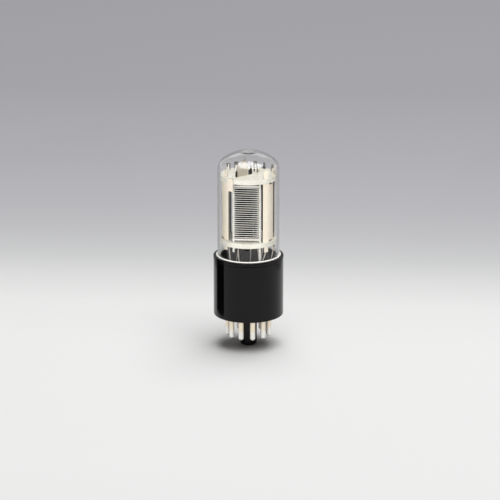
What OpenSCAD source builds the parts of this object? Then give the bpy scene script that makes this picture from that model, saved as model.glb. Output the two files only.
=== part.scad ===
// Side-on photomultiplier tube on an eleven-pin plug-in base, each piece a solid of its own.
// Millimetres. The origin is on the axis at the end of the locating spigot, +Z runs up the axis,
// and the light window and the key face -Y. Heights named above the seat start at the base's underside.

/* [Bulb] */
// Outside diameter of the glass bulb
bulb_d = 28.5; // [27:0.1:30]
// Wall of the bulb
bulb_wall = 1; // [0.7:0.1:1.3]
// Distance from the upper insulator to the bulb's crown
head_room = 10.7; // [10:0.1:14]
// Height of the dome over the straight bulb
dome_h = 9; // [8:0.1:11]
// Radius of the dome's rounded shoulder
dome_corner = 6.5; // [5:0.1:7.5]
// Glass left at the middle of the crown
crown_wall = 1.2; // [1.2:0.1:2.4]
// Height of the stem's underside above the seat
stem_z = 11; // [9:0.1:14]
// Thickness of the glass stem
stem_t = 3; // [2:0.1:4]

/* [Base] */
// Wall of the base shell
base_wall = 1.5; // [1.2:0.1:2.4]
// Height of the base shell above the seat
base_h = 28.4; // [24:0.1:31]
// Thickness of the base's floor
base_floor = 3.2; // [2.4:0.1:5]
// Rounding of the base's lower edge
base_round = 0.4; // [0.4:0.1:1.2]
// Rounding of the base's upper edge under the lip
neck_round = 0.3; // [0.1:0.1:0.6]
// Height of the lip around the base's rim
lip_h = 1.6; // [1:0.1:3]
// How far the lip stands out
lip_out = 0.1; // [0.1:0.05:0.6]
// Rounding of the lip's upper edge
lip_round = 0.6; // [0.2:0.1:0.8]
// Gap for the cement between bulb and base
cement_gap = 0.35; // [0.2:0.05:0.8]
// Depth of the cement ring
cement_h = 13; // [6:0.5:15]
// Height of the cement's bead on the bulb above the rim
cement_rise = 0.4; // [0.2:0.1:0.8]

/* [Spigot] */
// Diameter of the locating spigot
spigot_d = 7.9; // [7:0.1:9]
// Length of the spigot below the seat
spigot_len = 15; // [13:0.1:18]
// Rounding of the spigot's end
spigot_nose = 1.3; // [0.6:0.1:1.6]
// Bore of the spigot, open to the inside of the base
spigot_bore = 5.4; // [4.8:0.1:6]
// Thickness of the spigot's closed end
spigot_end = 2; // [1.6:0.1:3]
// Width of the key
key_w = 2.4; // [1.6:0.1:3]
// How far the key stands out from the spigot
key_reach = 1.1; // [0.6:0.1:1.6]
// Distance from the spigot's end to the key
key_rise = 1.7; // [1.6:0.1:4]

/* [Pins] */
// Diameter of the pin circle
pin_circle_d = 19.05; // [17:0.05:22]
// Diameter of a pin
pin_d = 2.36; // [2:0.02:2.8]
// How far a pin's shank in the base's floor is wider than the pin, each side
pin_step = 0.25; // [0.2:0.01:0.35]
// Length of a pin below the seat
pin_len = 10.1; // [9:0.1:12]
// Bore of a pin's two ends
pin_bore = 1.5; // [1.1:0.1:1.7]
// Depth of the bore that takes the lead in a pin's head
pin_cup = 3; // [2:0.1:5]
// Height of a pin's head above the base's floor
pin_head = 1; // [0.5:0.1:2]
// How far a pin's head stands out
pin_flange = 0.5; // [0.2:0.1:0.8]
// Depth of the solder in a pin's tip
solder_plug = 2.4; // [1:0.1:4]
// Height of the solder drop under a pin
solder_drop = 0.4; // [0.2:0.1:0.8]

/* [Cage] */
// Height of the lower insulator's underside above the seat
cage_z = 34.6; // [33:0.1:38]
// Distance between the two insulators
cage_h = 27.8; // [26:0.1:29]
// Thickness of an insulator
insulator_t = 2.2; // [1.6:0.1:3]
// Gap between the insulators and the bulb
cage_gap = 0.5; // [0.4:0.05:0.8]
// Clearance around a tab or post in an insulator
slot_gap = 0.12; // [0.05:0.01:0.25]

/* [Electrodes] */
// Thickness of the electrode sheet
sheet_t = 0.3; // [0.2:0.05:0.5]
// Distance from the insulator's rim to the outer dynodes
ring_inset = 0.6; // [0.4:0.1:1]
// Radius of an outer dynode
outer_r = 6.2; // [5.6:0.1:6.6]
// Radius of the last dynode
last_r = 8; // [7.6:0.1:8.4]
// Overlap of the circles on which neighbouring inner dynodes lie
inner_lap = 0.5; // [0.2:0.05:0.6]
// Distance from the outer ring to the centres of the inner dynodes
inner_inset = 4.4; // [4.1:0.1:4.7]
// Gap between an electrode's edge and the insulators
edge_gap = 0.8; // [0.4:0.1:1.5]
// Width of an electrode's tab
tab_w = 2; // [1.2:0.1:2.2]
// Width of an inner dynode's tab
inner_tab_w = 1; // [0.8:0.1:1.2]
// How far a tab's foot is wider than the tab, each side
foot_w = 0.5; // [0.2:0.1:0.6]
// Height of a tab above the upper insulator
tab_up = 3.4; // [2:0.1:4.5]
// Length of a tab below the lower insulator
tab_down = 2.6; // [1.5:0.1:4]
// Length of a twisted end's flat root in the upper insulator
tab_root = 0.5; // [0.3:0.1:1]
// Twist that locks a tab, in degrees
tab_twist = 35; // [0:5:60]
// Width of the photocathode
cathode_w = 10.1; // [9:0.1:10.6]
// Slant of the photocathode from the window's plane, in degrees
cathode_slant = 42; // [38:0.5:45]
// Distance from the grid to the photocathode's near edge
cathode_gap = 1.7; // [1.3:0.1:2.2]
// Distance from the photocathode to the shield behind it
shield_gap = 1.9; // [1.4:0.1:2.4]
// Distance along the photocathode from its left edge to the shield
shield_from = 0.8; // [0:0.1:1.5]
// How far the shield ends before the photocathode's right edge
shield_short = 2.4; // [2:0.1:4]
// Distance from the last dynode to the anode
anode_gap = 2; // [1.5:0.1:2.5]
// Angle from the last dynode's first edge to the anode, in degrees
anode_start = 26; // [20:1:32]
// Angle from the anode to the last dynode's second edge, in degrees
anode_end = 26; // [20:1:30]
// Diameter of the anode's posts
anode_post_d = 0.7; // [0.5:0.1:1]
// Diameter of the anode's wires
anode_wire_d = 0.2; // [0.15:0.01:0.3]
// Number of wires in the anode
anode_wires = 18; // [8:1:24]

/* [Entrance grid] */
// Distance between the grid's posts
grid_span = 11.8; // [11:0.1:13]
// Distance from the insulator's rim to the grid's plane
grid_inset = 3.55; // [3.2:0.05:4]
// Diameter of a post
post_d = 0.9; // [0.7:0.05:1.2]
// Height of a post above the upper insulator
post_up = 1.2; // [0.6:0.1:3]
// How far the right post runs on below the cage
post_tail = 8; // [3:0.5:12]
// Diameter of the rod at the top of a post
rod_d = 0.7; // [0.4:0.05:0.8]
// Length of the left post's rod
rod_left = 5.4; // [2:0.1:6]
// Length of the right post's rod
rod_right = 2.6; // [1:0.1:5]
// Lean of the rods towards the middle, in degrees
rod_lean = 14; // [0:1:20]
// Diameter of the grid's wire
wire_d = 0.3; // [0.16:0.01:0.34]
// Distance from the insulators to the end turns
grid_margin = 2.3; // [2:0.05:4]
// Number of turns
wire_turns = 24; // [12:1:24]
// Gap between the wire and the post it goes round
wire_gap = 0.03; // [0.02:0.01:0.06]
// Height of a cross bar
bar_h = 0.8; // [0.4:0.1:1]
// Thickness of a cross bar
bar_t = 0.4; // [0.3:0.1:0.6]
// Distance from the end turns to the cross bars
bar_gap = 0.5; // [0.4:0.1:0.8]
// Size of the lug that holds an end of the wire
lug_w = 0.6; // [0.5:0.05:0.7]

/* [Top shield] */
// Distance from the photocathode's left edge to the shield
flag_from = 1.2; // [0.8:0.1:2]
// Width of the shield
flag_w = 5.6; // [4:0.1:6.4]
// Height of the upright part
flag_h = 2.7; // [2:0.1:3.6]
// Length of the bent part on its low side
flag_low = 1.6; // [1:0.1:2.5]
// Length of the bent part on its high side
flag_high = 5.4; // [3:0.1:6]
// How far the bent part spreads on each side
flag_flare = 1; // [0:0.1:1.5]
// Bend of the upper part, in degrees
flag_bend = 28; // [10:1:40]

/* [Bulb spacers] */
// Width of a spacer clip
clip_w = 3; // [2:0.1:4]
// Thickness of its sheet
clip_t = 0.2; // [0.15:0.05:0.25]
// Reach of the clip over the insulator
clip_reach = 1.1; // [0.8:0.1:1.2]
// Width of the part that lies on the insulator
clip_lug = 2; // [1.4:0.1:2.4]
// Length of its leaf below the upper insulator
clip_leaf = 3.5; // [2:0.1:5]

/* [Leads] */
// Diameter of a lead
lead_d = 0.5; // [0.4:0.05:0.8]
// Diameter of the circle of leads in the stem
stem_circle_d = 16.4; // [14:0.1:18]
// Outside diameter of the exhaust tip
exhaust_d = 4.4; // [3.6:0.1:4.6]
// Bore of the exhaust tip
exhaust_bore = 2.4; // [1.6:0.1:2.8]
// How far the exhaust tip reaches below the seat
exhaust_reach = 7.5; // [4:0.1:10]

/* [Hidden] */
$fn = 72;
touch = 0.02;
lead_sides = 8;
wire_sides = 6;
wrap_rings = 11;
twist_slices = 6;

seat_z = spigot_len;
bulb_r = bulb_d / 2;
cavity_r = bulb_r + cement_gap;
base_r = cavity_r + base_wall;
floor_z = seat_z + base_floor;
rim_z = seat_z + base_h;
spigot_r = spigot_d / 2;
shank_r = pin_d / 2 + pin_step;
stem_low = seat_z + stem_z;
stem_high = stem_low + stem_t;

disc_r = bulb_r - bulb_wall - cage_gap;
ring_r = disc_r - ring_inset;
low_z = seat_z + cage_z;
deck_z = low_z + insulator_t;
high_z = deck_z + cage_h;
top_z = high_z + insulator_t;
body_z = deck_z + edge_gap;
body_h = cage_h - 2 * edge_gap;
dome_z = top_z + head_room - dome_h;

// Outer and inner dynodes: number, direction of the arc's centre, start and end seen from that direction
outer_arcs = [[1, -33, -36, 45], [3, 17, -31, 35], [5, 68, -35, 37], [7, 112, -37, 35], [9, 177, -53, 61]];
inner_arcs = [[2, -4, -26, 59], [4, 45, -40, 37], [6, 94, -34, 34], [8, 140, -45, 22]];
dynodes = [for (n = [1 : 9]) n];
inner_steps = len(inner_arcs) - 1;
inner_pitch = (inner_arcs[inner_steps][1] - inner_arcs[0][1]) / inner_steps;
inner_ring_r = ring_r - inner_inset;
inner_r = inner_ring_r * sin(inner_pitch / 2) + inner_lap / 2;

function polar(r, a) = [r * cos(a), r * sin(a)];
function row_of(n, rows) = [for (row = rows) if (row[0] == n) row][0];
function outer_arc(row, r) = [polar(ring_r - r, row[1]), r, row[1] + row[2], row[1] + row[3]];
function inner_arc(row) =
    [polar(inner_ring_r, row[1]), inner_r, row[1] + 180 + row[2], row[1] + 180 + row[3]];
function arc_of(n) =
    n % 2 == 0 ? inner_arc(row_of(n, inner_arcs))
    : outer_arc(row_of(n, outer_arcs), n == 9 ? last_r : outer_r);
function degrees_for(w, r) = w / r * 180 / PI;
function tab_of(n) = n % 2 == 0 ? inner_tab_w : tab_w;
function tab_angles(arc, w) =
    let (inset = degrees_for(w / 2 + foot_w, arc[1])) [arc[2] + inset, arc[3] - inset];
function arc_point(arc, a, r) = arc[0] + polar(r, a);

grid_y = -(disc_r - grid_inset);
post_x = grid_span / 2;
wrap_r = (post_d + wire_d) / 2 + wire_gap;
wire_low = deck_z + grid_margin;
wire_high = high_z - grid_margin;
wire_pitch = (wire_high - wire_low) / (wire_turns - 1);

cathode_dir = polar(1, cathode_slant);
cathode_front = [cathode_dir.y, -cathode_dir.x];
cathode_p = [-post_x + post_d / 2, grid_y + cathode_gap];
cathode_q = cathode_p + cathode_w * cathode_dir;
shield_p = cathode_p - shield_gap * cathode_front + shield_from * cathode_dir;
shield_q = cathode_q - shield_gap * cathode_front - shield_short * cathode_dir;

anode_arc = arc_of(9);
anode_p = arc_point(anode_arc, anode_arc[2] + anode_start, last_r - anode_gap);
anode_q = arc_point(anode_arc, anode_arc[3] - anode_end, last_r - anode_gap);

// Directions of the spacer clips, each clear of the tabs
clip_angles = [-3.5, 111, 236.5];
clip_r = disc_r + cage_gap / 2;

// Leads in the order of the pins, counted from the key: nine dynodes, anode, photocathode
lead_count = len(dynodes) + 2;
function pin_angle(i) = -90 + (i - 0.5) * 360 / lead_count;
// Which of a dynode's two tabs takes the lead
lead_tab = [0, 1, 0, 1, 0, 1, 1, 0, 0];
weld_r = (sheet_t + lead_d) / 2 + touch;
function dynode_weld(n) =
    let (arc = arc_of(n), side = n % 2 == 0 ? 1 : -1)
    arc_point(arc, tab_angles(arc, tab_of(n))[lead_tab[n - 1]], arc[1] + side * weld_r);
anode_weld = anode_q + [(anode_post_d + lead_d) / 2 + touch, 0];
cathode_weld = cathode_p + (tab_w / 2 + foot_w) * cathode_dir + weld_r * cathode_front;
function weld_of(i) = i < 10 ? dynode_weld(i) : i == 10 ? anode_weld : cathode_weld;

// A quarter of a disc in the quadrant that the signs name
module quarter(r, sx, sy) {
    intersection() {
        circle(r);
        translate([sx < 0 ? -2 * r : 0, sy < 0 ? -2 * r : 0]) square(2 * r);
    }
}

// A turned block from r0 to r1, with its outer edges rounded by low and high
module turned_block(r0, r1, z0, z1, low, high) {
    translate([r0, z0]) square([r1 - low - r0, low]);
    translate([r1 - low, z0 + low]) quarter(low, 1, -1);
    translate([r0, z0 + low]) square([r1 - r0, z1 - high - z0 - low]);
    translate([r0, z1 - high]) square([r1 - high - r0, high]);
    translate([r1 - high, z1 - high]) quarter(high, 1, 1);
}

// Half section of a domed body: straight side, rounded shoulder and a shallow crown that meet smoothly
module domed_half(r, z0, z1, h, corner) {
    crown = (h * h + (r - corner) * (r - corner) - corner * corner) / (2 * (h - corner));
    crown_z = z1 + h - crown;
    meet_x = (r - corner) * crown / (crown - corner);
    translate([0, z0]) square([r, z1 - z0]);
    translate([r - corner, z1]) quarter(corner, 1, 1);
    intersection() {
        translate([0, crown_z]) circle(crown, $fn = 4 * $fn);
        translate([0, z1]) square([meet_x, 2 * h]);
    }
}

// A curved strip of sheet between two angles of an arc
module arc_strip(arc, t, a0, a1) {
    far = 2 * arc[1];
    translate(arc[0]) intersection() {
        difference() {
            circle(arc[1] + t / 2);
            circle(arc[1] - t / 2);
        }
        polygon([[0, 0], polar(far, a0), polar(far, (a0 + a1) / 2), polar(far, a1)]);
    }
}

// A strip of the arc, of width w, around the angle a
module arc_tab(arc, t, a, w) {
    half = degrees_for(w / 2, arc[1]);
    arc_strip(arc, t, a - half, a + half);
}

// A flat strip of sheet of width w, centred at p and running along the angle a
module flat_tab(p, a, w, t) {
    translate(p) rotate(a) square([w, t], center = true);
}

// A tab's flat root in the upper insulator and its twisted end above
module twisted_end(p, a, w, turn, up) {
    translate([p.x, p.y, top_z]) rotate(a) {
        translate([0, 0, -tab_root]) linear_extrude(tab_root) square([w, sheet_t], center = true);
        linear_extrude(up, twist = turn, slices = twist_slices, segments = 4)
            square([w, sheet_t], center = true);
    }
}

// A tube along a route: rings of points square to the route, joined by triangles
function unit(v) = v / norm(v);
function tangent(route, i) =
    unit(route[min(i + 1, len(route) - 1)] - route[max(i - 1, 0)]);
function tube_ring(c, t, across, r, sides) =
    let (b = unit(cross(t, across)), u = cross(b, t))
    [for (k = [0 : sides - 1]) c + r * (cos(360 * k / sides) * b + sin(360 * k / sides) * u)];
function tube_side(i, k, sides) =
    let (a = i * sides + k, b = i * sides + (k + 1) % sides)
    [[a, a + sides, b], [b, a + sides, b + sides]];

module tube(route, r, sides, across) {
    last = len(route) - 1;
    points = [for (i = [0 : last]) each tube_ring(route[i], tangent(route, i), across, r, sides)];
    walls = [for (i = [0 : last - 1]) for (k = [0 : sides - 1]) each tube_side(i, k, sides)];
    rim = last * sides;
    start = [for (k = [1 : sides - 2]) [0, k, k + 1]];
    end = [for (k = [1 : sides - 2]) [rim, rim + k + 1, rim + k]];
    polyhedron(points, concat(walls, start, end));
}

// Black moulded base: cup, floor with pin holes, hollow spigot and key
module base_shell() {
    color([0.05, 0.05, 0.05]) difference() {
        union() {
            rotate_extrude() difference() {
                union() {
                    turned_block(0, base_r, seat_z, rim_z - lip_h, base_round, neck_round);
                    turned_block(0, base_r + lip_out, rim_z - lip_h, rim_z, lip_out, lip_round);
                    turned_block(0, spigot_r, 0, seat_z, spigot_nose, touch);
                    translate([0, seat_z - touch]) square([spigot_r, 2 * touch]);
                }
                translate([0, floor_z]) square([cavity_r, base_h]);
                translate([0, spigot_end]) square([spigot_bore / 2, seat_z + base_floor]);
            }
            translate([-key_w / 2, -spigot_r - key_reach, key_rise])
                cube([key_w, key_reach + spigot_nose, seat_z - key_rise]);
        }
        for (i = [1 : lead_count]) translate(polar(pin_circle_d / 2, pin_angle(i)))
            translate([0, 0, seat_z - touch]) cylinder(r = shank_r, h = base_floor + 2 * touch);
    }
}

// Ring of cement that holds the bulb in the base, with a slanted bead on top
module base_cement() {
    low = rim_z - cement_h;
    color([0.75, 0.72, 0.66]) rotate_extrude()
        polygon([[bulb_r, low], [cavity_r, low], [cavity_r, rim_z], [bulb_r, rim_z + cement_rise]]);
}

// Clear bulb with a flattened dome
module glass_bulb() {
    color([0.8, 0.85, 0.86, 0.35]) rotate_extrude() difference() {
        domed_half(bulb_r, stem_high, dome_z, dome_h, dome_corner);
        domed_half(
            bulb_r - bulb_wall, stem_high - bulb_wall, dome_z, dome_h - crown_wall, dome_corner - bulb_wall
        );
    }
}

// Glass disc that closes the bulb, with a hole for each lead
module glass_stem() {
    color([0.75, 0.82, 0.8, 0.6]) translate([0, 0, stem_low]) linear_extrude(stem_t) difference() {
        circle(bulb_r);
        circle(d = exhaust_bore);
        for (i = [1 : lead_count]) translate(polar(stem_circle_d / 2, pin_angle(i))) circle(d = lead_d);
    }
}

// Sealed-off exhaust tube under the stem, inside the spigot
module exhaust_tip() {
    low = seat_z - exhaust_reach;
    wall = (exhaust_d - exhaust_bore) / 2;
    color([0.75, 0.82, 0.8, 0.6]) rotate_extrude() difference() {
        turned_block(0, exhaust_d / 2, low, stem_low, wall, touch);
        translate([0, low + exhaust_d / 2]) square([exhaust_bore / 2, stem_low - low]);
    }
}

// Contact pin with a rounded tip, a shank and a flange in the base's floor and a bore in each end
module contact_pin(i) {
    tip = seat_z - pin_len;
    color([0.78, 0.73, 0.62]) translate(polar(pin_circle_d / 2, pin_angle(i))) rotate_extrude() difference() {
        union() {
            turned_block(0, pin_d / 2, tip, floor_z, (pin_d - pin_bore) / 2, touch);
            translate([0, seat_z]) square([shank_r, base_floor]);
            translate([0, floor_z]) square([shank_r + pin_flange, pin_head]);
        }
        translate([0, floor_z + pin_head - pin_cup]) square([pin_bore / 2, 2 * pin_cup]);
        translate([0, tip - solder_plug]) square([pin_bore / 2, 2 * solder_plug]);
    }
}

// Solder that fills the end of each pin and stands out as a drop
module solder_drops() {
    r = pin_bore / 2;
    color([0.8, 0.8, 0.78]) for (i = [1 : lead_count])
        translate(polar(pin_circle_d / 2, pin_angle(i))) translate([0, 0, seat_z - pin_len - solder_drop])
            rotate_extrude() turned_block(0, r, 0, solder_drop + solder_plug, solder_drop, touch);
}

// Slots and holes for every tab and post that passes an insulator
module insulator_openings() {
    w = tab_w + 2 * slot_gap;
    t = sheet_t + 2 * slot_gap;
    for (n = dynodes) for (a = tab_angles(arc_of(n), tab_of(n)))
        arc_tab(arc_of(n), t, a, tab_of(n) + 2 * slot_gap);
    for (p = flat_tabs(cathode_p, cathode_q)) flat_tab(p, cathode_slant, w, t);
    for (p = flat_tabs(shield_p, shield_q)) flat_tab(p, cathode_slant, w, t);
    for (p = [anode_p, anode_q]) translate(p) circle(d = anode_post_d + 2 * slot_gap);
    for (x = [-post_x, post_x]) translate([x, grid_y]) circle(d = post_d + 2 * slot_gap);
}

module insulator(z) {
    color([0.93, 0.91, 0.84]) translate([0, 0, z]) linear_extrude(insulator_t) difference() {
        circle(disc_r);
        insulator_openings();
    }
}

// Ceramic disc under the cage
module lower_insulator() {
    insulator(low_z);
}

// Ceramic disc over the cage
module upper_insulator() {
    insulator(high_z);
}

// Curved dynode with two feet, tabs through both insulators and twisted ends
module dynode(n) {
    arc = arc_of(n);
    w = tab_of(n);
    turn = n % 2 == 0 ? -tab_twist : tab_twist;
    color([0.85, 0.81, 0.73]) {
        translate([0, 0, body_z]) linear_extrude(body_h) arc_strip(arc, sheet_t, arc[2], arc[3]);
        for (a = tab_angles(arc, w)) {
            translate([0, 0, low_z - tab_down]) linear_extrude(tab_down + insulator_t)
                arc_tab(arc, sheet_t, a, w);
            for (z = [deck_z, body_z + body_h]) translate([0, 0, z]) linear_extrude(edge_gap)
                arc_tab(arc, sheet_t, a, w + 2 * foot_w);
            translate([0, 0, high_z]) linear_extrude(insulator_t) arc_tab(arc, sheet_t, a, w);
            twisted_end(arc_point(arc, a, arc[1]), a + 90, w, turn, tab_up);
        }
    }
}

// Centres of the two tabs of a flat plate from p to q
function flat_tabs(p, q) =
    let (u = unit(q - p), inset = tab_w / 2 + foot_w) [p + inset * u, q - inset * u];

// Flat plate with two feet and tabs, like a dynode
module flat_plate(p, q, turn, up) {
    translate([0, 0, body_z]) linear_extrude(body_h)
        flat_tab((p + q) / 2, cathode_slant, norm(q - p), sheet_t);
    for (c = flat_tabs(p, q)) {
        translate([0, 0, low_z - tab_down]) linear_extrude(tab_down + insulator_t)
            flat_tab(c, cathode_slant, tab_w, sheet_t);
        for (z = [deck_z, body_z + body_h]) translate([0, 0, z]) linear_extrude(edge_gap)
            flat_tab(c, cathode_slant, tab_w + 2 * foot_w, sheet_t);
        translate([0, 0, high_z]) linear_extrude(insulator_t) flat_tab(c, cathode_slant, tab_w, sheet_t);
        twisted_end(c, cathode_slant, tab_w, turn, up);
    }
}

// Slanted plate that gives off electrons when light falls on it
module photocathode() {
    color([0.35, 0.34, 0.36]) flat_plate(cathode_p, cathode_q, 0, flag_h - sheet_t);
}

// Plate that screens the photocathode from the anode
module cathode_shield() {
    color([0.8, 0.77, 0.7]) flat_plate(shield_p, shield_q, -tab_twist, tab_up);
}

// Two posts with straight wires between them
module anode_grid() {
    run = anode_q - anode_p;
    step = body_h / (anode_wires + 1);
    color([0.8, 0.78, 0.72]) {
        for (p = [anode_p, anode_q]) translate([p.x, p.y, low_z - tab_down])
            cylinder(d = anode_post_d, h = top_z - low_z + tab_down + tab_up);
        for (k = [1 : anode_wires]) translate([anode_p.x, anode_p.y, body_z + k * step])
            rotate([0, 90, atan2(run.y, run.x)]) cylinder(d = anode_wire_d, h = norm(run));
    }
}

// A grid post from z0 up through both insulators, with a leaning rod and a lug for an end of the wire
module grid_post(x, z0, lug_z, rod, lean) {
    color([0.86, 0.83, 0.77]) {
        translate([x, grid_y, z0]) cylinder(d = post_d, h = top_z + post_up - z0);
        translate([x, grid_y, top_z + post_up / 2]) rotate([0, lean, 0]) cylinder(d = rod_d, h = rod);
        translate([x - lug_w / 2, grid_y - (post_d + lug_w) / 2, lug_z - lug_w / 2]) cube(lug_w);
    }
}

module grid_post_left() {
    grid_post(-post_x, low_z - tab_down, wire_low, rod_left, rod_lean);
}

module grid_post_right() {
    grid_post(post_x, low_z - post_tail, wire_high, rod_right, -rod_lean);
}

// One turn seen from above: middle of the front run, round the right post, back run, round the left post
function wrap_points(x, a0) =
    [for (k = [0 : wrap_rings - 1]) [x, grid_y] + polar(wrap_r, a0 + 180 * k / (wrap_rings - 1))];
turn_points = concat(
    [[0, grid_y - wrap_r]], wrap_points(post_x, -90), [[0, grid_y + wrap_r]], wrap_points(-post_x, 90)
);
turn_rings = len(turn_points);
// The wire lies level in front and climbs one pitch along the back run
function climb(k) = k <= wrap_rings ? 0 : k == wrap_rings + 1 ? 0.5 : 1;
function wire_point(n, k) =
    let (p = turn_points[k]) [p.x, p.y, wire_low + wire_pitch * (n + climb(k))];
wire_route = concat(
    [[-post_x + lug_w / 2, grid_y - wrap_r, wire_low]],
    [for (n = [0 : wire_turns - 2]) for (k = [0 : turn_rings - 1]) wire_point(n, k)],
    [[0, grid_y - wrap_r, wire_high], [post_x - lug_w / 2, grid_y - wrap_r, wire_high]]
);
function self_gap(route, d, apart) =
    min([for (i = [0 : len(route) - 1]) for (j = [i + apart : min(i + 3 * apart, len(route) - 1)])
        norm(route[i] - route[j])]) - d;

// Grid wire in one piece, wound round both posts
module grid_winding() {
    echo(grid_winding_least_gap = self_gap(wire_route, wire_d, wrap_rings + 1));
    color([0.9, 0.87, 0.8]) tube(wire_route, wire_d / 2, wire_sides, [0, 0, 1]);
}

// Flat bars welded across the front of the posts, above and below the wire
module grid_cross_bars() {
    color([0.9, 0.87, 0.8]) for (z = [wire_low - bar_gap - bar_h, wire_high + bar_gap])
        translate([-post_x - post_d / 2, grid_y - post_d / 2 - bar_t, z])
            cube([grid_span + post_d, bar_t, bar_h]);
}

// Bent plate that stands on the upper insulator in front of the photocathode's tabs
module top_shield() {
    foot = cathode_p + flag_from * cathode_dir + (sheet_t + touch) * cathode_front;
    color([0.84, 0.8, 0.71]) translate([foot.x, foot.y, top_z]) rotate(cathode_slant) {
        translate([0, -sheet_t / 2, 0]) cube([flag_w, sheet_t, flag_h]);
        translate([0, 0, flag_h]) rotate([90 - flag_bend, 0, 0]) translate([0, 0, -sheet_t / 2])
            linear_extrude(sheet_t)
                polygon([
                    [0, -sheet_t / 2], [flag_w, -sheet_t / 2],
                    [flag_w + flag_flare, flag_high], [-flag_flare, flag_low]
                ]);
    }
}

// Spring clips on the rim of the upper insulator that centre the cage in the bulb
module bulb_spacers() {
    rim = [[0, 0], clip_r, 0, 0];
    half = degrees_for(clip_lug / 2, clip_r);
    color([0.84, 0.8, 0.71]) for (a = clip_angles) {
        translate([0, 0, high_z - clip_leaf]) linear_extrude(clip_leaf + insulator_t + touch)
            arc_tab(rim, clip_t, a, clip_w);
        translate([0, 0, top_z + touch]) linear_extrude(clip_t) intersection() {
            difference() {
                circle(clip_r + clip_t / 2);
                circle(clip_r - clip_reach);
            }
            polygon([[0, 0], for (s = [-1, 0, 1]) polar(2 * clip_r, a + s * half)]);
        }
    }
}

// Stiff wire from a pin's head through the stem to its electrode's tab
module lead_wire(i) {
    pin = polar(pin_circle_d / 2, pin_angle(i));
    seal = polar(stem_circle_d / 2, pin_angle(i));
    weld = weld_of(i);
    bend = 2 * lead_d;
    route = [
        [pin.x, pin.y, floor_z + pin_head - pin_cup + touch],
        [pin.x, pin.y, floor_z + pin_head + bend],
        [seal.x, seal.y, stem_low - bend],
        [seal.x, seal.y, stem_high + bend],
        [weld.x, weld.y, low_z - tab_down - bend],
        [weld.x, weld.y, low_z - touch]
    ];
    color([0.75, 0.73, 0.68]) tube(route, lead_d / 2, lead_sides, [1, 0, 0]);
}

base_shell();
base_cement();
glass_bulb();
glass_stem();
exhaust_tip();
solder_drops();
lower_insulator();
upper_insulator();
photocathode();
cathode_shield();
anode_grid();
grid_post_left();
grid_post_right();
grid_winding();
grid_cross_bars();
top_shield();
bulb_spacers();
for (n = dynodes) dynode(n);
for (i = [1 : lead_count]) contact_pin(i);
for (i = [1 : lead_count]) lead_wire(i);
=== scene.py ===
"""Dressed model of a side-on photomultiplier tube: finishes, finer pieces, studio and camera.

Lengths in the classes of the tube's pieces are in millimetres, in the frame of the CAD part, and
become metres where a mesh is made. Lengths in the studio's classes are in metres.
"""

import logging
import math
from abc import ABC, abstractmethod
from collections.abc import Iterable, Sequence
from dataclasses import dataclass
from enum import Enum

import bpy
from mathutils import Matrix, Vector


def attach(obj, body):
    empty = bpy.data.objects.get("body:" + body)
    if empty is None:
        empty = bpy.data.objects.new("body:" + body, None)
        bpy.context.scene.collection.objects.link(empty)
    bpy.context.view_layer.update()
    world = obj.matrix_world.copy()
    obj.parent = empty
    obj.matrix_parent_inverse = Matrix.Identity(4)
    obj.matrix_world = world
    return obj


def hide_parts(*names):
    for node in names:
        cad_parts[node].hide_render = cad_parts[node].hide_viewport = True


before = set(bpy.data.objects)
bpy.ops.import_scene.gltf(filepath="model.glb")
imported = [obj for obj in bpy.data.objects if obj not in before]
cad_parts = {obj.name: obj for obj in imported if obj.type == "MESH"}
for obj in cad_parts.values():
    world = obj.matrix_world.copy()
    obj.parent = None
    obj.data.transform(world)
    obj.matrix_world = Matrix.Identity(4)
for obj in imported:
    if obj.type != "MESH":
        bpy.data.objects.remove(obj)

log = logging.getLogger("tube")

Colour = tuple[float, float, float]
Point = tuple[float, float, float]
Pair = tuple[float, float]
Corners = tuple[Point, Point]
Stop = tuple[float, Colour]
Socket = bpy.types.NodeSocket
Material = bpy.types.Material
Piece = bpy.types.Object

MM = 0.001
POLE_MM = 1e-6
UPRIGHT = 0.9


class Slot(Enum):
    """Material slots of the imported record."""

    BULB_GLASS = "bulb_glass"
    CEMENT = "cement"
    GRID_NICKEL = "grid_nickel"
    LEAD_METAL = "lead_metal"


class Axis(Enum):
    """Axes of the tube's frame."""

    X = 0
    Y = 1
    Z = 2


class Sum(Enum):
    """Sums that a node can work out."""

    ADD_PRODUCT = "MULTIPLY_ADD"
    DIFFERENCE = "SUBTRACT"
    LARGER = "MAXIMUM"
    LESS_THAN = "LESS_THAN"
    PRODUCT = "MULTIPLY"
    QUOTIENT = "DIVIDE"
    SIZE = "ABSOLUTE"


class NodeSheet:
    """Shorthand for the nodes of a tree."""

    def __init__(self, tree: bpy.types.NodeTree) -> None:
        """Takes up a tree.

        Args:
            tree: The tree.
        """
        self.tree = tree

    def node(self, kind: str) -> bpy.types.Node:
        """Adds a node of a kind."""
        return self.tree.nodes.new(f"ShaderNode{kind}")

    def link(self, source: Socket, target: Socket) -> None:
        """Joins an output to an input."""
        self.tree.links.new(source, target)

    def work_out(self, kind: Sum, *values: float | Socket) -> Socket:
        """Works out a sum.

        Args:
            kind: The sum.
            values: Its numbers or outputs, in order.

        Returns:
            The result.
        """
        node = self.node("Math")
        node.operation = kind.value
        for socket, value in zip(node.inputs, values):
            if isinstance(value, float):
                socket.default_value = value
            else:
                self.link(value, socket)
        return node.outputs["Value"]

    def choose(self, factor: Socket, first: Socket, second: Socket, target: Socket) -> None:
        """Blends two shaders into a target.

        Args:
            factor: 0 for the first shader, 1 for the second.
            first: First shader.
            second: Second shader.
            target: Input that takes the result.
        """
        node = self.node("MixShader")
        self.link(factor, node.inputs["Fac"])
        self.link(first, node.inputs[1])
        self.link(second, node.inputs[2])
        self.link(node.outputs["Shader"], target)


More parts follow.
